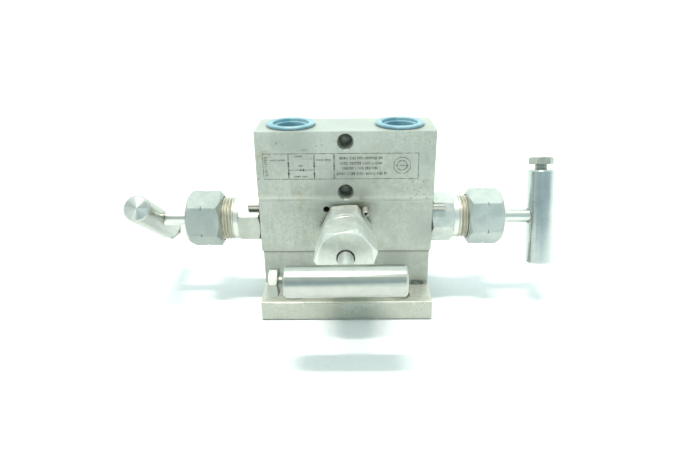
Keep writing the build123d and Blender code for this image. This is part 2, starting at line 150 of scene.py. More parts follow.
# A painted highlight for the ledge below the panel:
LEDGE_HIGHLIGHT = (0.66, 0.655, 0.56)
BROWN_STAIN = (0.36, 0.335, 0.235)
BROWN_SMOKE = (0.22, 0.215, 0.165)
GREY_SMUDGE = (0.29, 0.31, 0.29)
DARK_PIT = (0.13, 0.135, 0.12)
DARK_STREAK = (0.22, 0.22, 0.19)
# Painted shade under the lip:
UNDER_LIP_SHADE = (0.15, 0.14, 0.105)
# Painted shade in corners and crevices:
CREVICE_SHADE = (0.17, 0.155, 0.11)
# Colours on turned pieces: an oil stain, and a painted highlight for their faced ends.
OIL_STAIN = (0.40, 0.33, 0.20)
FAN_HIGHLIGHT = (0.88, 0.90, 0.87)


# ---- frames of the moving pieces ------------------------------------------------------------------
def valve_frame(valve):
    """The valve's own frame at rest: Z outwards from its datum plane, Y up, in metres."""
    joint = joints[f"{valve}_handle_turn"]
    out = Vector(joint["axis"])
    up = Vector((0, 0, 1))
    across = up.cross(out)
    matrix = Matrix((across, up, out)).transposed().to_4x4()
    matrix.translation = Vector(joint["pos_m"]) - out * HANDLE_U * MM
    return matrix


def handle_frame(valve):
    """The handle's own frame: Z along the bar towards its bolt, X outwards."""
    turn = math.radians(BOLT_ANGLE[valve])
    bar = Vector((math.cos(turn), math.sin(turn), 0))
    out = Vector((0, 0, 1))
    side = bar.cross(out)
    matrix = Matrix((out, side, bar)).transposed().to_4x4()
    matrix.translation = Vector((0, 0, HANDLE_U * MM))
    return valve_frame(valve) @ matrix


# ---- node graphs ----------------------------------------------------------------------------------
def shade(colour, factor):
    return tuple(part * factor for part in colour)


class Graph:
    """A node tree, with short calls for the nodes used here. Values are numbers or sockets."""

    def __init__(self, tree):
        self.tree = tree
        self.tree.nodes.clear()

    def join(self, source, socket):
        self.tree.links.new(source, socket)

    def put(self, value, socket):
        if isinstance(value, bpy.types.NodeSocket):
            self.join(value, socket)
        else:
            socket.default_value = value

    def math(self, operation, a, b=0.0, clamp=False):
        node = self.tree.nodes.new("ShaderNodeMath")
        node.operation = operation
        node.use_clamp = clamp
        self.put(a, node.inputs[0])
        self.put(b, node.inputs[1])
        return node.outputs[0]

    def times(self, a, b, clamp=False):
        return self.math("MULTIPLY", a, b, clamp)

    def split(self, vector):
        node = self.tree.nodes.new("ShaderNodeSeparateXYZ")
        self.join(vector, node.inputs[0])
        return node.outputs

    def combine(self, x, y=0.0):
        node = self.tree.nodes.new("ShaderNodeCombineXYZ")
        self.put(x, node.inputs[0])
        self.put(y, node.inputs[1])
        return node.outputs[0]

    def ramp(self, value, start, end, low=0.0, high=1.0):
        """Eases from low to high as the value goes from start to end."""
        node = self.tree.nodes.new("ShaderNodeMapRange")
        node.interpolation_type = "SMOOTHSTEP"
        self.put(value, node.inputs["Value"])
        limits = {"From Min": start, "From Max": end, "To Min": low, "To Max": high}
        for socket, number in limits.items():
            node.inputs[socket].default_value = number
        return node.outputs["Result"]

    def mix(self, factor, a, b):
        """Colour a, with colour b mixed in by the factor."""
        node = self.tree.nodes.new("ShaderNodeMix")
        node.data_type = "RGBA"
        self.put(factor, node.inputs["Factor"])
        for socket, colour in zip((node.inputs[6], node.inputs[7]), (a, b)):
            self.put(colour if isinstance(colour, bpy.types.NodeSocket) else (*colour, 1.0), socket)
        return node.outputs[2]


class Surface(Graph):
    """A material whose colour and relief are worked out from the place on the piece."""

    def __init__(self, name):
        self.material = bpy.data.materials.new(name)
        self.material.use_nodes = True
        super().__init__(self.material.node_tree)
        output = self.tree.nodes.new("ShaderNodeOutputMaterial")
        self.shader = self.tree.nodes.new("ShaderNodeBsdfPrincipled")
        self.join(self.shader.outputs[0], output.inputs[0])
        self.place = self.tree.nodes.new("ShaderNodeTexCoord").outputs["Object"]

    def vector(self, operation, a, b=(0, 0, 0)):
        node = self.tree.nodes.new("ShaderNodeVectorMath")
        node.operation = operation
        self.put(a, node.inputs[0])
        self.put(b, node.inputs[1])
        return node.outputs["Value" if operation in ("LENGTH", "DISTANCE") else 0]

    def scaled(self, factors):
        return self.vector("MULTIPLY", self.place, factors)

    def from_axis(self):
        """Distance from the piece's own Z axis."""
        return self.vector("LENGTH", self.scaled((1.0, 1.0, 0.0)))

    def noise(self, vector, scale, detail=3.0, rough=0.55, twist=0.0):
        node = self.tree.nodes.new("ShaderNodeTexNoise")
        self.join(vector, node.inputs["Vector"])
        node.inputs["Scale"].default_value = scale
        node.inputs["Detail"].default_value = detail
        node.inputs["Roughness"].default_value = rough
        node.inputs["Distortion"].default_value = twist
        return node.outputs["Fac"]

    def cells(self, scale):
        node = self.tree.nodes.new("ShaderNodeTexVoronoi")
        self.join(self.place, node.inputs["Vector"])
        node.inputs["Scale"].default_value = scale
        return node.outputs["Distance"]

    def near(self, centre, radius):
        """1 at a point given in millimetres, falling to 0 at the radius."""
        distance = self.vector("DISTANCE", self.place, tuple(c * MM for c in centre))
        return self.ramp(distance, 0.0, radius * MM, 1.0, 0.0)

    def near_any(self, marks):
        """1 at any of a list of marks, each a centre and a reach."""
        mask = self.near(*marks[0])
        for centre, radius in marks[1:]:
            mask = self.math("MAXIMUM", mask, self.near(centre, radius))
        return mask

    def band(self, value, centre, half):
        """1 where a value in metres is at the centre, 0 past half a width either side; both in mm."""
        away = self.math("ABSOLUTE", self.math("SUBTRACT", value, centre * MM))
        return self.ramp(away, 0.0, half * MM, 1.0, 0.0)

    def painted_fan_highlight(self, x, y, amount):
        """Painted highlight: bright sectors on the end faces of a bar, standing in for the fan of
        reflections a faced end shows.
        """
        node = self.tree.nodes.new("ShaderNodeTexCoord")
        normal = self.split(node.outputs["Normal"])
        end = self.ramp(self.math("ABSOLUTE", normal[2]), 0.90, 0.98)
        sectors = self.noise(self.combine(self.math("ARCTAN2", y, x)), 0.85, 1.0, 0.5)
        return self.times(end, self.ramp(sectors, 0.40, 0.60, amount * 0.25, amount))

    def occlusion_shade(self, reach):
        """Painted shade from ambient occlusion: 1 in corners and crevices within a reach in
        millimetres.
        """
        node = self.tree.nodes.new("ShaderNodeAmbientOcclusion")
        node.samples = 6
        node.inputs["Distance"].default_value = reach * MM
        return self.ramp(node.outputs["AO"], 0.35, 0.95, 1.0, 0.0)

    def finish(self, colour, rough, relief, strength, depth, **sockets):
        """Joins colour, roughness and relief to the shader; the relief's depth is in millimetres."""
        self.join(colour, self.shader.inputs["Base Color"])
        self.put(rough, self.shader.inputs["Roughness"])
        for name, value in sockets.items():
            self.shader.inputs[name.replace("_", " ")].default_value = value
        bump = self.tree.nodes.new("ShaderNodeBump")
        bump.inputs["Strength"].default_value = strength
        bump.inputs["Distance"].default_value = depth * MM
        self.join(relief, bump.inputs["Height"])
        self.join(bump.outputs[0], self.shader.inputs["Normal"])
        return self.material


def block_steel():
    """Milled bar that has been handled and stored: fine vertical cutter lines, stains and pits."""
    g = Surface("block_milled_steel")
    y, z = g.split(g.place)[1:3]
    lines = g.noise(g.scaled((1.0, 1.0, 0.03)), 2600, 3.0, 0.6)
    swirl = g.noise(g.scaled((1.0, 1.0, 0.22)), 320, 4.0, 0.6, 0.4)
    cloud = g.noise(g.place, 55, 5.0, 0.62, 0.5)
    mottle = g.noise(g.place, 420, 3.0, 0.6)

    # The steel itself.
    colour = g.mix(g.ramp(cloud, 0.34, 0.66), STEEL_DARK, STEEL_LIGHT)
    colour = g.mix(g.ramp(mottle, 0.38, 0.72, 0.0, 0.35), colour, STEEL_FLECK)
    colour = g.mix(g.ramp(swirl, 0.42, 0.75, 0.0, 0.35), colour, STEEL_SWIRL)
    colour = g.mix(g.ramp(lines, 0.5, 0.7, 0.0, 0.4), colour, STEEL_LINE)
    tan = g.ramp(g.noise(g.scaled((1.0, 1.0, 0.6)), 95, 5.0, 0.65, 0.8), 0.56, 0.76, 0.0, 0.5)
    colour = g.mix(tan, colour, STEEL_TAN)
    grain = g.ramp(g.noise(g.place, 1150, 3.0, 0.7), 0.48, 0.66)
    worn = g.math("ADD", g.times(g.near_any(WORN), 0.35), 0.16)
    colour = g.mix(g.times(grain, worn), colour, STEEL_GRAIN)

    # Stains and smudges.
    stain = g.ramp(g.noise(g.place, 150, 5.0, 0.7, 0.6), 0.50, 0.64)
    stained = g.near_any(STAINS)
    colour = g.mix(g.times(g.times(stain, stained), 0.7), colour, BROWN_STAIN)
    patchy = g.ramp(mottle, 0.3, 0.6, 0.3, 0.85)
    colour = g.mix(g.times(g.near((7, -14, 58.5), 11), patchy), colour, BROWN_SMOKE)
    for centre, radius in SMUDGES:
        smudge = g.times(g.near(centre, radius), patchy)
        colour = g.mix(g.times(smudge, 0.6), colour, GREY_SMUDGE)

    # Brighter parts: the flange's own lighter steel; a painted highlight along its upper edge, painted
    # light on the top face and a painted highlight along the ledge below the panel.
    flange = g.ramp(z, (FLANGE_TOP - 0.4) * MM, (FLANGE_TOP + 0.1) * MM, 1.0, 0.0)
    colour = g.mix(g.times(flange, 0.45), colour, STEEL_FLANGE)
    # Painted highlight along the flange's upper edge.
    flange_edge_highlight = g.times(g.band(z, FLANGE_TOP, 0.7), g.ramp(mottle, 0.3, 0.6, 0.6, 0.95))
    colour = g.mix(flange_edge_highlight, colour, FLANGE_EDGE_HIGHLIGHT)
    # Painted light: the top face is made lighter, as light from above falls on it.
    top = g.ramp(z, (BLOCK_TOP - 0.5) * MM, (BLOCK_TOP - 0.1) * MM, 0.0, 0.45)
    colour = g.mix(top, colour, TOP_FACE_LIGHT)
    # Painted highlight: a soft light band along the ledge below the panel.
    ledge_highlight = g.times(g.band(z, LEDGE_Z, 2.6), g.ramp(swirl, 0.25, 0.6, 0.15, 0.6))
    colour = g.mix(ledge_highlight, colour, LEDGE_HIGHLIGHT)

    # Pits, dings and scratches; painted shade under the lip and painted shade in corners.
    pits = g.ramp(g.cells(900), 0.10, 0.30, 1.0, 0.0)
    sparse = g.ramp(g.noise(g.place, 330, 3.0, 0.7), 0.49, 0.58)
    pitted = g.times(sparse, g.math("ADD", g.near_any(PITTED), 0.06))
    pits = g.times(pits, pitted, clamp=True)
    for across, up, radius in DINGS:
        ding = g.ramp(g.near((across, -14, up), radius), 0.1, 0.9, 0.0, 0.55)
        pits = g.math("MAXIMUM", pits, ding)
    colour = g.mix(g.times(pits, 0.85), colour, DARK_PIT)
    streaks = g.ramp(g.noise(g.scaled((0.16, 1.0, 1.0)), 900, 2.0, 0.5, 0.3), 0.64, 0.72)
    streaks = g.times(streaks, g.near((-14, -14, 87), 17))
    colour = g.mix(g.times(streaks, 0.7), colour, DARK_STREAK)
    # Painted shade: a dark band on the waist just under the lip's overhang.
    recessed = g.ramp(g.math("ABSOLUTE", y), 12.5 * MM, 10.5 * MM)
    under_lip_shade = g.times(g.band(z, LIP_Z - 2.3, 2.2), recessed)
    colour = g.mix(g.times(under_lip_shade, 0.85), colour, UNDER_LIP_SHADE)
    # Painted shade in corners and crevices, from ambient occlusion, weaker next to the floor.
    crevice_shade = g.times(g.occlusion_shade(3.2), g.ramp(z, 0.2 * MM, 2.5 * MM, 0.1, 1.0))
    colour = g.mix(g.times(crevice_shade, 0.6), colour, CREVICE_SHADE)

    rough = g.math("ADD", g.ramp(cloud, 0.3, 0.7, 0.40, 0.52), g.times(crevice_shade, 0.15))
    rough = g.math("SUBTRACT", rough, g.times(flange, 0.19))
    relief = g.math("ADD", g.times(lines, 0.55), g.times(mottle, 0.35))
    relief = g.math("SUBTRACT", relief, g.times(pits, 0.5))
    return g.finish(colour, rough, relief, 0.30, 0.02, Metallic=0.78)


def turned_steel(name, light, dark, rough, marks, metallic=1.0, aniso=0.4, ring_scale=9000,
                 specks=0.3, stain=0.0, fan_highlight=0.0):
    """Bar turned about the piece's own Z: rings round it, concentric marks on its ends."""
    g = Surface(name)
    x, y, z = g.split(g.place)
    across = g.combine(g.math("ADD", g.from_axis(), z))
    rings = g.noise(across, ring_scale, 2.0, 0.6)
    wide_rings = g.noise(across, ring_scale / 9, 2.0, 0.5)
    cloud = g.noise(g.place, 160, 4.0, 0.6, 0.4)
    fleck = g.noise(g.place, 1500, 2.0, 0.6)
    colour = g.mix(g.ramp(cloud, 0.34, 0.66), dark, light)
    colour = g.mix(g.ramp(wide_rings, 0.4, 0.7, 0.0, 0.25), colour, dark)
    colour = g.mix(g.ramp(fleck, 0.66, 0.78, 0.0, specks), colour, shade(dark, 0.45))
    if stain:
        mask = g.ramp(g.noise(g.place, 240, 4.0, 0.65, 0.7), 0.40, 0.62, 0.0, stain)
        colour = g.mix(mask, colour, OIL_STAIN)
    # A painted highlight: bright fan sectors on the bar's end faces.
    if fan_highlight:
        colour = g.mix(g.painted_fan_highlight(x, y, fan_highlight), colour, FAN_HIGHLIGHT)
    # Painted shade in corners and crevices, from ambient occlusion.
    colour = g.mix(g.times(g.occlusion_shade(1.6), 0.55), colour, (0.12, 0.105, 0.075))
    roughness = g.ramp(cloud, 0.3, 0.7, rough * (1.0 - specks / 2), rough * (1.0 + specks / 2))
    relief = g.math("ADD", rings, g.times(fleck, specks * 0.8))
    # Highlights are drawn out across the turning marks.
    tangent = g.tree.nodes.new("ShaderNodeTangent")
    tangent.direction_type = "RADIAL"
    tangent.axis = "Z"
    g.join(tangent.outputs[0], g.shader.inputs["Tangent"])
    g.shader.inputs["Anisotropic Rotation"].default_value = 0.25
    return g.finish(colour, roughness, relief, marks, 0.012, Metallic=metallic, Anisotropic=aniso)


def thread_steel():
    """A cut thread with old oil and dust in it: clean crests, tan roots, and painted shade deep in its
    grooves.
    """
    g = Surface("stained_thread_steel")
    crest = g.ramp(g.from_axis(), 10.25 * MM, 11.05 * MM)
    cloud = g.noise(g.place, 330, 4.0, 0.65, 0.6)
    colour = g.mix(g.ramp(cloud, 0.35, 0.65), (0.52, 0.49, 0.385), (0.64, 0.62, 0.53))
    clean = g.times(crest, g.ramp(cloud, 0.3, 0.6, 0.4, 0.95))
    colour = g.mix(clean, colour, (0.72, 0.72, 0.63))
    # Painted shade in the grooves, from ambient occlusion.
    colour = g.mix(g.times(g.occlusion_shade(1.0), 0.45), colour, (0.24, 0.20, 0.13))
    grit = g.noise(g.place, 1800, 3.0, 0.6)
    return g.finish(colour, g.ramp(cloud, 0.3, 0.7, 0.40, 0.56), grit, 0.25, 0.02, Metallic=0.7)


def hexagon_steel(name, light, dark, rough):
    """Cold-drawn hexagon bar: drawing lines along the flats, small dings."""
    g = Surface(name)
    lines = g.noise(g.scaled((1.0, 1.0, 0.04)), 2400, 2.0, 0.6)
    cloud = g.noise(g.place, 120, 4.0, 0.6, 0.5)
    mottle = g.noise(g.place, 700, 3.0, 0.65)
    dings = g.ramp(g.cells(520), 0.03, 0.11, 1.0, 0.0)
    dings = g.times(dings, g.ramp(g.noise(g.place, 180, 2.0), 0.55, 0.66))
    colour = g.mix(g.ramp(cloud, 0.35, 0.65), dark, light)
    colour = g.mix(g.ramp(mottle, 0.4, 0.75, 0.0, 0.3), colour, shade(dark, 0.78))
    colour = g.mix(g.times(dings, 0.6), colour, (0.17, 0.17, 0.15))
    # Painted shade in corners, from ambient occlusion.
    colour = g.mix(g.times(g.occlusion_shade(1.5), 0.5), colour, (0.15, 0.13, 0.09))
    relief = g.math("ADD", lines, g.times(mottle, 0.6))
    relief = g.math("SUBTRACT", relief, g.times(dings, 1.4))
    roughness = g.ramp(cloud, 0.3, 0.7, rough * 0.88, rough * 1.15)
    return g.finish(colour, roughness, relief, 0.22, 0.015, Metallic=0.7)


def etch_mark():
    """Brown oxide left by the marking."""
    g = Surface("etched_marking")
    worn = g.noise(g.place, 420, 4.0, 0.7)
    colour = g.mix(g.ramp(worn, 0.40, 0.66), (0.14, 0.135, 0.11), (0.35, 0.355, 0.30))
    return g.finish(colour, g.ramp(worn, 0.3, 0.7, 0.55, 0.75), worn, 0.1, 0.01, Metallic=0.3)


def plug_plastic():
    """Pale blue moulded polyethylene, thin enough to pass some light."""
    g = Surface("blue_plug_plastic")
    cloud = g.noise(g.place, 130, 3.0, 0.55, 0.3)
    scuff = g.noise(g.place, 1400, 3.0, 0.65)
    colour = g.mix(g.ramp(cloud, 0.35, 0.65), (0.16, 0.335, 0.41), (0.265, 0.44, 0.49))
    colour = g.mix(g.ramp(scuff, 0.62, 0.75, 0.0, 0.25), colour, (0.55, 0.76, 0.82))
    return g.finish(colour, g.ramp(cloud, 0.3, 0.7, 0.30, 0.42), scuff, 0.12, 0.03,
                    Subsurface_Weight=0.25, Subsurface_Scale=0.002, Coat_Weight=0.15)


def ptfe():
    g = Surface("white_ptfe")
    cloud = g.noise(g.place, 300, 3.0, 0.5)
    colour = g.mix(g.ramp(cloud, 0.35, 0.65), (0.74, 0.73, 0.68), (0.86, 0.85, 0.82))
    return g.finish(colour, g.ramp(cloud, 0.3, 0.7, 0.4, 0.55), cloud, 0.1, 0.02)


def ball_chrome():
    g = Surface("polished_ball")
    cloud = g.noise(g.place, 600, 2.0, 0.5)
    colour = g.mix(g.ramp(cloud, 0.35, 0.65), (0.66, 0.67, 0.68), (0.74, 0.75, 0.76))
    return g.finish(colour, g.ramp(cloud, 0.3, 0.7, 0.06, 0.12), cloud, 0.02, 0.01, Metallic=1.0)


POLISHED = dict(marks=0.03, ring_scale=14000, specks=0.06, fan_highlight=0.9)
MATERIALS = {
    "block": block_steel(),
    "bonnet": turned_steel("bonnet_turned_steel", (0.82, 0.83, 0.77), (0.71, 0.73, 0.67), 0.42,
                           marks=0.3, stain=0.1, metallic=0.7),
    "bonnet_hex": hexagon_steel("bonnet_hexagon_steel", (0.745, 0.775, 0.715), (0.61, 0.645, 0.59),
                                0.42),
    # A darker copy of the bonnet hexagon's finish, for the left valve: painted shade.
    "shaded_bonnet_hex": hexagon_steel("shaded_bonnet_hexagon_steel", (0.53, 0.55, 0.49),
                                     (0.44, 0.46, 0.405), 0.42),
    "thread": thread_steel(),
    "nut": hexagon_steel("nut_hexagon_steel", (0.575, 0.615, 0.58), (0.49, 0.535, 0.50), 0.44),
    # A lighter copy of the nut's finish, for the front valve: painted light.
    "lit_nut": hexagon_steel("lit_nut_hexagon_steel", (0.76, 0.785, 0.72), (0.65, 0.68, 0.62),
                                0.42),
    # A darker copy of the nut's finish, for the left valve: painted shade.
    "shaded_nut": hexagon_steel("shaded_nut_hexagon_steel", (0.47, 0.505, 0.47), (0.40, 0.44, 0.405),
                              0.44),
    "stem": turned_steel("stem_burnished_steel", (0.75, 0.77, 0.72), (0.66, 0.68, 0.63), 0.30,
                         marks=0.12, metallic=0.85, specks=0.15),
    "handle": turned_steel("handle_polished_bar", (0.535, 0.55, 0.50), (0.485, 0.50, 0.45), 0.36,
                           aniso=0.5, **POLISHED),
    # A glossier copy of the handle's finish for the right valve; its bluer colour is a painted
    # reflection tint.
    "reflection_tinted_handle": turned_steel("reflection_tinted_handle_polished_bar", (0.545, 0.59, 0.575),
                                (0.49, 0.535, 0.52), 0.28, aniso=0.6, **POLISHED),
    "fastener": turned_steel("bolt_machine_finish", (0.42, 0.45, 0.40), (0.345, 0.375, 0.33), 0.42,
                             marks=0.2, stain=0.1, metallic=0.75),
    "pin": turned_steel("spring_pin_steel", (0.62, 0.625, 0.57), (0.48, 0.48, 0.43), 0.38,
                        marks=0.15, stain=0.1, metallic=0.55),
    "mark": etch_mark(),
    "plug": plug_plastic(),
    "seal": ptfe(),
    "ball": ball_chrome(),
}


# ---- mesh helpers -----------------------------------------------------------------------------------
def object_from(bm, name, matrix=None, sharp=32.0):
    """Makes a shaded object from a bmesh drawn in metres in the given frame."""
    bmesh.ops.recalc_face_normals(bm, faces=bm.faces)
    mesh = bpy.data.meshes.new(name)
    bm.to_mesh(mesh)
    bm.free()
    for polygon in mesh.polygons:
        polygon.use_smooth = True
    mesh.set_sharp_from_angle(angle=math.radians(sharp))
    piece = bpy.data.objects.new(name, mesh)
    bpy.context.scene.collection.objects.link(piece)
    if matrix is not None:
        piece.matrix_world = matrix
    return piece


def paint(piece, *materials):
    piece.data.materials.clear()
    for name in materials:
        piece.data.materials.append(MATERIALS[name])
    return piece


def body_of_node(node):
    for body, nodes in record["behaviour"]["bodies"].items():
        if node in nodes:
            return body


def from_cad(node, material, matrix, width):
    """A finished copy of a CAD node: joined-up faces, broken edges and its own frame for textures."""
    bm = bmesh.new()
    bm.from_mesh(frame["nodes"][node].data)
    bmesh.ops.remove_doubles(bm, verts=bm.verts, dist=CAD_WELD * MM)
    bmesh.ops.dissolve_limit(bm, angle_limit=math.radians(FLAT_ANGLE), verts=bm.verts, edges=bm.edges)
    bm.transform(matrix.inverted())
    # The vector layers hold the old mesh's normals, which no longer fit.
    for layer in list(bm.loops.layers.float_vector):
        bm.loops.layers.float_vector.remove(layer)
    piece = object_from(bm, node + "_finished", matrix)
    bevel = piece.modifiers.new("edge_break", "BEVEL")
    bevel.width = width * MM
    bevel.segments = EDGE_SEGMENTS
    bevel.limit_method = "ANGLE"
    bevel.angle_limit = math.radians(EDGE_ANGLE)
    bevel.harden_normals = True
    bevel.use_clamp_overlap = True
    paint(piece, material)
    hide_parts(node)
    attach(piece, body_of_node(node))


def circle(radius, height):
    """One row of points round a valve's axis; radius and height may depend on the angle."""
    row = []
    for i in range(SIDES):
        a = math.tau * i / SIDES
        r = radius(a) if callable(radius) else radius
        z = height(a) if callable(height) else height
        row.append((r * math.cos(a), r * math.sin(a), z))
    return row


def ring_surface(rows):
    """Joins rows of points round an axis, and the last row to the first, into a closed skin."""
    bm = bmesh.new()
    made = [[bm.verts.new(Vector(p) * MM) for p in row] for row in rows + [rows[0]]]
    for lower, upper in zip(made, made[1:]):
        for i in range(SIDES):
            j = (i + 1) % SIDES
            bm.faces.new((lower[i], lower[j], upper[j], upper[i]))
    bmesh.ops.remove_doubles(bm, verts=bm.verts, dist=SKIN_WELD * MM)
    return bm


def thread_radius(angle, z, start, end, radius, depth, pitch):
    """Radius of a helical thread with flat crests, rounded roots and a run-out at each end."""
    phase = ((z - start) / pitch - angle / math.tau) % 1.0
    from_root = abs(phase - 0.5) * 2
    cut = min(1.0, max(0.0, (THREAD_CREST_FROM - from_root) / (THREAD_CREST_FROM - THREAD_ROOT_TO)))
    eased = cut * cut * (3 - 2 * cut)
    cut = eased * THREAD_ROUNDING + cut * (1 - THREAD_ROUNDING)
    fade = min(1.0, max(0.0, (z - start) / (THREAD_RUN_IN * pitch)),
               max(0.0, (end - z) / (THREAD_RUN_OUT * pitch)))
    return radius - depth * cut * fade


def threaded_rows(start, end, step, **thread):
    count = round((end - start) / step)
    rows = []
    for k in range(count + 1):
        z = start + (end - start) * k / count
        rows.append(circle(lambda a, z=z: thread_radius(a, z, start, end, **thread), z))
    return rows


def inner_thread(name, matrix, bottom, top, radius, height, pitch):
    """A helical ridge standing inward from a bored wall, tapering out at both ends."""
    turns = (top - bottom) / pitch
    steps = int(turns * RIDGE_SIDES)
    taper = RIDGE_SIDES * RIDGE_TAPER
    wall = radius + RIDGE_SUNK
    bm = bmesh.new()
    loops = []
    for i in range(steps + 1):
        a = math.tau * i / RIDGE_SIDES
        z = bottom + pitch * i / RIDGE_SIDES
        fade = min(1.0, i / taper, (steps - i) / taper)
        crest = radius - max(RIDGE_LEAST, height * fade)
        section = ((wall, z - RIDGE_FOOT * pitch), (crest, z - RIDGE_CREST * pitch),
                   (crest, z + RIDGE_CREST * pitch), (wall, z + RIDGE_FOOT * pitch))
        loops.append([bm.verts.new(Vector((r * math.cos(a), r * math.sin(a), w)) * MM)
                      for r, w in section])
    for first, second in zip(loops, loops[1:]):
        for k in range(4):
            bm.faces.new((first[k], first[(k + 1) % 4], second[(k + 1) % 4], second[k]))
    bm.faces.new(loops[0])
    bm.faces.new(list(reversed(loops[-1])))
    piece = paint(object_from(bm, name, matrix, 50), "fastener")
    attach(piece, "manifold")


# ---- the block ----------------------------------------------------------------------------------
def make_block():
    from_cad("manifold_body", "block", Matrix.Identity(4), 0.28)
    for side, x in (("left", -PORT_X), ("right", PORT_X)):
        inner_thread(f"{side}_port_thread", Matrix.Translation((x * MM, 0, 0)), BLOCK_TOP - 19.5,
                     BLOCK_TOP - 9.8, **PORT_THREAD)
    facing = Matrix(((1, 0, 0), (0, 0, -1), (0, 1, 0))).to_4x4()
    for name, z in zip(("lower", "upper"), BRACKET_HOLES):
        matrix = Matrix.Translation((0, LABEL_FACE_Y * MM, z * MM)) @ facing
        inner_thread(f"{name}_bracket_thread", matrix, -8.6, -2.4, **BRACKET_THREAD)


def make_marking():
    """The etched panel: a frame, a plain flow diagram, blank text bars and plain rings."""
    proud, sunk = 0.012, 0.05
    thin, thick = 0.22, 0.36
    bm = bmesh.new()

    def patch(points):
        """A shallow plate from its outline on the front face."""
        front = [bm.verts.new(Vector((x, LABEL_FACE_Y - proud, z)) * MM) for x, z in points]
        back = [bm.verts.new(Vector((x, LABEL_FACE_Y + sunk, z)) * MM) for x, z in points]
        bm.faces.new(front)
        bm.faces.new(list(reversed(back)))
        for i in range(len(points)):
            j = (i + 1) % len(points)
            bm.faces.new((front[i], back[i], back[j], front[j]))

    def bar(x0, z0, x1, z1):
        patch(((x0, z0), (x1, z0), (x1, z1), (x0, z1)))

    def line_up(x, width):
        bar(x - width / 2, LABEL_LOW, x + width / 2, LABEL_HIGH)

    def line_across(z, x0, x1, width):
        bar(x0, z - width / 2, x1, z + width / 2)

    def ring(x, z, radius, width):
        sides = 40
        for i in range(sides):
            a, b = math.tau * i / sides, math.tau * (i + 1) / sides
            inner = radius - width
            patch(((x + radius * math.cos(a), z + radius * math.sin(a)),
                   (x + radius * math.cos(b), z + radius * math.sin(b)),
                   (x + inner * math.cos(b), z + inner * math.sin(b)),
                   (x + inner * math.cos(a), z + inner * math.sin(a))))

    def valve_sign(x, z, size):
        """Two triangles meeting at a point, one above the other."""
        patch(((x - size, z + size), (x, z), (x + size, z + size)))
        patch(((x - size, z - size), (x + size, z - size), (x, z)))

    line_across(LABEL_LOW, LABEL_LEFT, LABEL_RIGHT, thick)
    line_across(LABEL_HIGH, LABEL_LEFT, LABEL_RIGHT, thick)
    line_up(LABEL_LEFT, thick)
    line_up(LABEL_LEFT + 0.85, thin)
    line_up(LABEL_RIGHT, thick)
    line_up(LABEL_MIDDLE, 0.85)
    for x in DIAGRAM_LINES:
        line_up(x, 0.5)
        valve_sign(x, 79.0, 0.95)
        patch(((x - 0.7, 74.9), (x, 73.0), (x + 0.7, 74.9)))
    line_across(DIAGRAM_LINK_Z, *DIAGRAM_LINES, 0.35)
    for x in (-22.2, -20.2):
        patch(((x, DIAGRAM_LINK_Z - 0.85), (x, DIAGRAM_LINK_Z + 0.85), (-21.2, DIAGRAM_LINK_Z)))

    maker = random.Random(7)

    def blank_words(x0, x1, z, height):
        """Short upright strokes in groups: they look like engraved words but spell nothing."""
        gap, word_gap, least = 0.2, 0.55, 0.5
        x = x0
        while x < x1 - least:
            for _ in range(maker.randint(4, 8)):
                wide = min(maker.uniform(0.35, 0.8), x1 - x)
                tall = height * maker.uniform(0.72, 1.0)
                bar(x, z - tall / 2, x + wide, z + tall / 2)
                x += wide + gap
                if x > x1 - least:
                    break
            x += word_gap

    for x0, x1, z in ((-3.0, 18.7, 82.1), (-2.6, 18.1, 79.5), (-1.6, 17.0, 77.0),
                      (-4.4, 20.2, 74.3)):
        blank_words(x0, x1, z, 1.6)
    for x0, x1, z, height in ((-36.6, -28.6, 81.2, 1.0), (-14.1, -6.3, 81.2, 1.1),
                              (-24.5, -20.4, 83.1, 1.1), (-22.8, -20.3, 78.4, 0.9),
                              (-25.2, -18.0, 72.9, 0.9)):
        blank_words(x0, x1, z, height)
    for i in range(9):
        z = 73.4 + 1.1 * i
        bar(-38.9, z, -38.0, z + maker.uniform(0.4, 0.8))
    ring(DEVICE_X, DEVICE_Z, 4.3, 0.4)
    ring(DEVICE_X, DEVICE_Z, 2.7, 0.55)
    line_across(DEVICE_Z, DEVICE_X - 3.2, DEVICE_X + 3.2, 0.4)
    piece = paint(object_from(bm, "etched_panel"), "mark")
    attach(piece, "manifold")


def make_crumbs():
    """Specks of weld spatter left in the corner between waist and flange."""
    maker = random.Random(11)
    bm = bmesh.new()
    for _ in range(CRUMB_COUNT):
        x = maker.uniform(33.5, 41.5)
        size = maker.uniform(0.25, 0.62)
        y = WAIST_FACE_Y - maker.uniform(0.2, 1.7)
        # Specks near the waist's face lie at any height on the fillet, the others on the flange.
        on_fillet = y > WAIST_FACE_Y - 1.0
        z = FLANGE_TOP + (maker.uniform(0.2, 1.0) if on_fillet else size * 0.4)
        crumb = bmesh.ops.create_icosphere(bm, subdivisions=2, radius=size * MM)
        for v in crumb["verts"]:
            v.co *= maker.uniform(0.72, 1.12)
            v.co.z *= 0.8
            v.co += Vector((x, y, z)) * MM
    piece = paint(object_from(bm, "weld_spatter"), "fastener")
    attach(piece, "manifold")


# ---- the valves ---------------------------------------------------------------------------------
def hexagon_radius(flats, flat_angle, limit):
    """Radius of a hexagon bar at an angle, with its corners just turned off."""
    def radius(a):
        turn = (a - math.radians(flat_angle) + math.pi / 6) % (math.pi / 3) - math.pi / 6
        return min(flats / 2 / math.cos(turn), limit)
    return radius


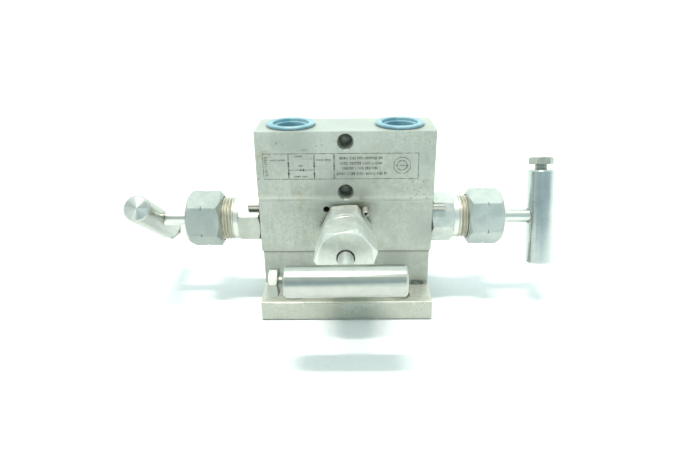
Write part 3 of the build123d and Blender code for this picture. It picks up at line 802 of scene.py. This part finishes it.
def make_bonnet_thread(valve):
    """The turned collar and the thread that carries the packing nut."""
    crest = BONNET_THREAD["radius"]
    root = crest - BONNET_THREAD["depth"]
    core, collar, groove = 10.4, crest - 0.15, crest - 0.3
    foot = 0.2
    rows = [circle(BONNET_BORE, foot), circle(core, foot), circle(collar, HEX_END - 1.2),
            circle(collar, THREAD_START - 0.9), circle(groove, THREAD_START - 0.75),
            circle(groove, THREAD_START - 0.55)]
    rows += threaded_rows(THREAD_START - 0.5, THREAD_END, 0.13, **BONNET_THREAD)
    rows += [circle(root, THREAD_END + 0.1), circle(BONNET_BORE, THREAD_END + 0.1)]
    skin = object_from(ring_surface(rows), f"{valve}_bonnet_thread", valve_frame(valve), 40)
    paint(skin, "bonnet", "thread")
    for polygon in skin.data.polygons:
        if polygon.center.z > (THREAD_START - 0.4) * MM:
            polygon.material_index = 1
    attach(skin, "manifold")


def make_bonnet_hexagon(valve):
    """The hexagon, its corners cut back by a cone at both ends; it stands for the CAD bonnet."""
    corner = BONNET_HEX_FLATS / math.sqrt(3)
    shape = hexagon_radius(BONNET_HEX_FLATS, BONNET_ANGLE[valve], corner - 0.1)
    inside = 9.5
    low_face, high_face = corner - 1.9, corner - 2.1

    def cone(face, start, sign):
        """Height of the hexagon's end at an angle: it falls away past the face's radius."""
        slope = math.tan(math.radians(30))
        return lambda a: start + sign * max(0.02, (shape(a) - face) * slope)

    rows = [circle(inside, HEX_START), circle(low_face, HEX_START),
            circle(shape, cone(low_face, HEX_START, 1)), circle(shape, cone(high_face, HEX_END, -1)),
            circle(high_face, HEX_END), circle(inside, HEX_END)]
    head = object_from(ring_surface(rows), f"{valve}_bonnet_hexagon", valve_frame(valve), 28)
    paint(head, HEXAGON_FINISH[valve])
    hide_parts(f"{valve}_bonnet")
    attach(head, "manifold")


def make_valve(valve):
    matrix = valve_frame(valve)
    make_bonnet_thread(valve)
    make_bonnet_hexagon(valve)
    from_cad(f"{valve}_packing_nut", NUT_FINISH[valve], matrix, 0.22)
    from_cad(f"{valve}_lock_pin", "pin", matrix, 0.1)
    from_cad(f"{valve}_stem", "stem", matrix, 0.12)
    from_cad(f"{valve}_handle_bar", BAR_FINISH[valve], handle_frame(valve), 0.2)
    from_cad(f"{valve}_handle_bolt", "fastener", handle_frame(valve), 0.12)
    for piece, material in (("bonnet_gasket", "seal"), ("packing_rings", "seal"),
                            ("packing_gland", "stem"), ("stem_ball", "ball")):
        paint(frame["nodes"][f"{valve}_{piece}"], material)


def make_plugs():
    for side, x in (("left", -PORT_X), ("right", PORT_X)):
        from_cad(f"{side}_port_plug", "plug", Matrix.Translation((x * MM, 0, 0)), 0.15)
        paint(frame["nodes"][f"{side}_flange_seal"], "seal")


make_block()
make_marking()
make_crumbs()
for valve in VALVES:
    make_valve(valve)
make_plugs()


# ---- floor, light and camera ----------------------------------------------------------------------
CAMERA_PLACE = (1.74, -275.13, 158.41)
CAMERA_DOWN, CAMERA_TURN, CAMERA_ROLL = 23.61, 0.61, 0.59
CAMERA_LENS, CAMERA_SENSOR = 29.27, 36.0
CAMERA_NEAR = 0.01
FLOOR_REACH = 12.0
LAMP_DIRECTION = (-0.11, -0.175, 1.0)
LAMP_COUNT = 7
LAMP_STEP = 3.0
LAMP_SPREAD = 4.0
LAMP_STRENGTH = 0.34
LAMP_COLOUR = (1.0, 0.96, 0.90)
TENT_FRONT_COLOUR = (0.60, 0.72, 0.70)
TENT_BACK_COLOUR = (1.22, 1.42, 1.39)
TENT_LEFT_GAP_COLOUR = (0.33, 0.48, 0.55)
TENT_RIGHT_GAP_COLOUR = (0.46, 0.63, 0.70)
SEEN_COLOUR = (1.0, 1.0, 1.0)


def make_floor():
    bm = bmesh.new()
    bmesh.ops.create_grid(bm, x_segments=8, y_segments=8, size=FLOOR_REACH)
    floor = object_from(bm, "floor")
    g = Surface("pale_floor")
    grain = g.noise(g.place, 400, 2.0, 0.5)
    colour = g.mix(g.ramp(grain, 0.3, 0.7), (0.87, 0.885, 0.885), (0.90, 0.91, 0.91))
    floor.data.materials.append(g.finish(colour, 0.75, grain, 0.02, 0.05, Specular_IOR_Level=0.2))


def make_light():
    """A long overhead lamp, a little in front: a row of soft lamps from left to right."""
    for step in range(LAMP_COUNT):
        lean = math.radians(LAMP_STEP * (step - (LAMP_COUNT - 1) / 2))
        data = bpy.data.lights.new(f"overhead_{step + 1}", "SUN")
        data.angle = math.radians(LAMP_SPREAD)
        data.energy = LAMP_STRENGTH
        data.color = LAMP_COLOUR
        light = bpy.data.objects.new(data.name, data)
        direction = Vector(LAMP_DIRECTION) + Vector((math.tan(lean), 0.0, 0.0))
        light.rotation_euler = (-direction).to_track_quat("-Z", "Y").to_euler()
        bpy.context.scene.collection.objects.link(light)


def make_world():
    """A pale tent, brighter behind the object and dim low in front; seen directly it is white."""
    world = bpy.data.worlds.new("tent")
    world.use_nodes = True
    bpy.context.scene.world = world
    g = Graph(world.node_tree)
    x, y, z = g.split(g.tree.nodes.new("ShaderNodeTexCoord").outputs["Generated"])
    wall = g.mix(g.ramp(y, -0.50, 0.15), TENT_FRONT_COLOUR, TENT_BACK_COLOUR)
    gap = g.mix(g.ramp(x, -0.5, 0.5), TENT_LEFT_GAP_COLOUR, TENT_RIGHT_GAP_COLOUR)
    in_gap = g.times(g.ramp(y, -0.80, -0.30, 1.0, 0.0), g.ramp(z, 0.44, 0.72, 1.0, 0.0))
    seen = g.tree.nodes.new("ShaderNodeLightPath").outputs["Is Camera Ray"]
    background = g.tree.nodes.new("ShaderNodeBackground")
    g.join(g.mix(seen, g.mix(in_gap, wall, gap), SEEN_COLOUR), background.inputs["Color"])
    output = g.tree.nodes.new("ShaderNodeOutputWorld")
    g.join(background.outputs[0], output.inputs[0])


def make_camera():
    data = bpy.data.cameras.new("camera")
    data.lens = CAMERA_LENS
    data.sensor_width = CAMERA_SENSOR
    data.clip_start = CAMERA_NEAR
    camera = bpy.data.objects.new("camera", data)
    bpy.context.scene.collection.objects.link(camera)
    turn = Matrix.Rotation(math.radians(CAMERA_TURN), 4, "Z")
    tilt = Matrix.Rotation(math.radians(90 - CAMERA_DOWN), 4, "X")
    roll = Matrix.Rotation(math.radians(-CAMERA_ROLL), 4, "Z")
    camera.matrix_world = Matrix.Translation(Vector(CAMERA_PLACE) * MM) @ turn @ tilt @ roll
    bpy.context.scene.camera = camera


make_floor()
make_light()
make_world()
make_camera()
bpy.context.scene.view_settings.view_transform = "Standard"
bpy.context.scene.view_settings.look = "None"
